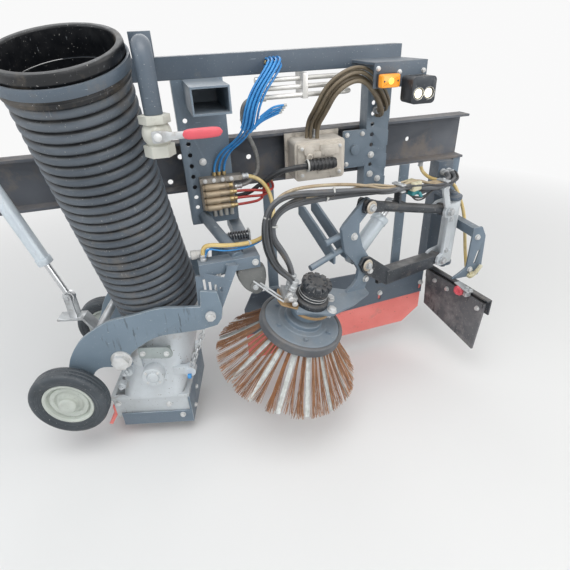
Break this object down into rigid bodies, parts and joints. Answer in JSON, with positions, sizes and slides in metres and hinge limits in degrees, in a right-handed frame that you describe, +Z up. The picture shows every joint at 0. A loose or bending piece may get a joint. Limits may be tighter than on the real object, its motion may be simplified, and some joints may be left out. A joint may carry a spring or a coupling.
{
  "type": "sweeping unit of a street sweeper truck",
  "caption": "Suction nozzle on two trailing wheels with its hose, and a plate broom on a swinging parallel arm, on a carrying frame that bolts to the side of a truck chassis.",
  "frame": {"origin": "centre of the chassis bolt pattern, on the back face of the carrier rail's web", "axes": "+X towards the front of the truck, +Y inboard into the chassis, +Z up"},
  "size_m": [1.7164, 0.7626, 1.2536],
  "materials": {
    "slate_paint": "satin, scratched",
    "black_paint": "semi-gloss, dusty",
    "chassis_brown": "matt, dusty",
    "cast_grey": "cast, dirty",
    "zinc": "galvanised",
    "cylinder_silver": "bright drawn",
    "hose_rubber": "scuffed",
    "tyre_rubber": "worn",
    "hub_plastic": "moulded",
    "coral_strip": "polyurethane, satin",
    "flat_strip_steel": "worn",
    "rusty_wire": "rusty",
    "box_cast": "cast, dusty",
    "hydraulic_rubber": "smooth, dusty",
    "water_rubber": "smooth",
    "air_nylon": "smooth",
    "lamp_orange": "translucent",
    "lamp_black": "moulded"
  },
  "bodies": {
    "root": {"carrier_rail": "chassis_brown", "rear_column": "slate_paint", "front_column": "slate_paint", "top_beam": "slate_paint", "pivot_hanger": "slate_paint", "hanger_legs": "slate_paint", "lift_anchor": "zinc", "hose_cuff": "hose_rubber", "cuff_bracket": "slate_paint", "turret_bracket": "black_paint", "deflector_board": "slate_paint", "deflector_strip": "coral_strip", "board_hangers": "slate_paint", "front_flap": "hose_rubber", "flap_bar": "black_paint", "flap_hanger": "slate_paint", "control_box": "box_cast", "valve_block": "box_cast", "standpipe": "slate_paint", "ball_valve": "box_cast", "valve_lever": "zinc", "marker_lamp": "lamp_orange", "work_lamp": "lamp_black", "steel_pipes": "zinc", "water_hoses": "water_rubber", "air_lines": "air_nylon", "frame_hoses": "hydraulic_rubber"},
    "nozzle": {"outer_arm": "slate_paint", "inner_arm": "slate_paint", "pivot_shaft": "zinc", "nozzle_casting": "cast_grey", "nozzle_skirt": "slate_paint", "nozzle_rear_flap": "coral_strip", "nozzle_shaft": "zinc", "lift_bar": "zinc", "nozzle_chain": "zinc", "suction_hose": "hose_rubber"},
    "outer_wheel": {"outer_tyre": "tyre_rubber", "outer_hub": "hub_plastic"},
    "inner_wheel": {"inner_tyre": "tyre_rubber", "inner_hub": "hub_plastic"},
    "nozzle_cylinder": {"lift_barrel": "cylinder_silver"},
    "nozzle_piston": {"lift_rod": "zinc"},
    "turret": {"turret_knuckle": "cast_grey", "turret_hoses": "hydraulic_rubber"},
    "lower_arm": {"lower_link": "black_paint"},
    "upper_arm": {"upper_link": "black_paint", "arm_hoses": "hydraulic_rubber"},
    "broom_head": {"head_plate": "slate_paint", "broom_motor": "black_paint", "motor_ports": "zinc", "head_hoses": "hydraulic_rubber"},
    "broom": {"broom_disc": "slate_paint", "broom_rim": "hose_rubber", "broom_strips": "flat_strip_steel", "broom_wires": "rusty_wire"},
    "broom_cylinder": {"broom_lift_barrel": "cylinder_silver"},
    "broom_piston": {"broom_lift_rod": "zinc"}
  },
  "joints": [
    {"name": "nozzle_lift", "type": "hinge", "parent": "root", "child": "nozzle", "pos_m": [-0.25221, -0.22984, -0.365], "axis": [-0.2419, -0.9703, 0], "range_deg": [0, 10], "deforming": ["suction_hose"]},
    {"name": "outer_wheel_spin", "type": "hinge", "parent": "nozzle", "child": "outer_wheel", "pos_m": [-0.781, -0.317, -0.641], "axis": [0.2419, 0.9703, 0], "continuous": true},
    {"name": "inner_wheel_spin", "type": "hinge", "parent": "nozzle", "child": "inner_wheel", "pos_m": [-0.67818, 0.09538, -0.641], "axis": [0.2419, 0.9703, 0], "continuous": true},
    {"name": "nozzle_cylinder_turn", "type": "hinge", "parent": "root", "child": "nozzle_cylinder", "pos_m": [-0.85558, -0.12835, 0.14], "axis": [-0.2419, -0.9703, 0], "range_deg": [-4, 4]},
    {"name": "nozzle_piston_slide", "type": "slide", "parent": "nozzle_cylinder", "child": "nozzle_piston", "axis": [0.2681, -0.0668, -0.9611], "range_m": [0, 0.1]},
    {"name": "broom_swing", "type": "hinge", "parent": "root", "child": "turret", "pos_m": [0.693, -0.158, -0.336], "axis": [0, 0, 1], "range_deg": [0, 35], "deforming": ["turret_hoses"]},
    {"name": "broom_lift", "type": "hinge", "parent": "turret", "child": "lower_arm", "pos_m": [0.63493, -0.17971, -0.438], "axis": [0.3502, -0.9367, 0], "range_deg": [0, 27]},
    {"name": "upper_arm_turn", "type": "hinge", "parent": "turret", "child": "upper_arm", "pos_m": [0.63493, -0.17971, -0.233], "axis": [0.3502, -0.9367, 0], "range_deg": [-2, 30], "deforming": ["arm_hoses"]},
    {"name": "head_level", "type": "hinge", "parent": "upper_arm", "child": "broom_head", "pos_m": [0.23984, -0.32743, -0.11], "axis": [0.3502, -0.9367, 0], "range_deg": [-30, 2], "deforming": ["head_hoses"]},
    {"name": "broom_spin", "type": "hinge", "parent": "broom_head", "child": "broom", "pos_m": [-0.001, -0.393, -0.456], "axis": [0.2714, -0.1737, 0.9466], "continuous": true},
    {"name": "broom_cylinder_turn", "type": "hinge", "parent": "lower_arm", "child": "broom_cylinder", "pos_m": [0.22233, -0.2806, -0.315], "axis": [0.3502, -0.9367, 0], "range_deg": [-20, 2]},
    {"name": "broom_piston_slide", "type": "slide", "parent": "broom_cylinder", "child": "broom_piston", "axis": [0.7186, 0.2687, 0.6414], "range_m": [0, 0.09]}
  ],
  "couplings": [
    {"joint": "nozzle_cylinder_turn", "follows": "nozzle_lift", "ratio": -0.19803},
    {"joint": "nozzle_piston_slide", "follows": "nozzle_lift", "m_per_rad": 0.45988},
    {"joint": "upper_arm_turn", "follows": "broom_lift", "ratio": 1},
    {"joint": "head_level", "follows": "broom_lift", "ratio": -1},
    {"joint": "broom_cylinder_turn", "follows": "broom_lift", "ratio": -0.54241},
    {"joint": "broom_piston_slide", "follows": "broom_lift", "m_per_rad": 0.14206}
  ]
}
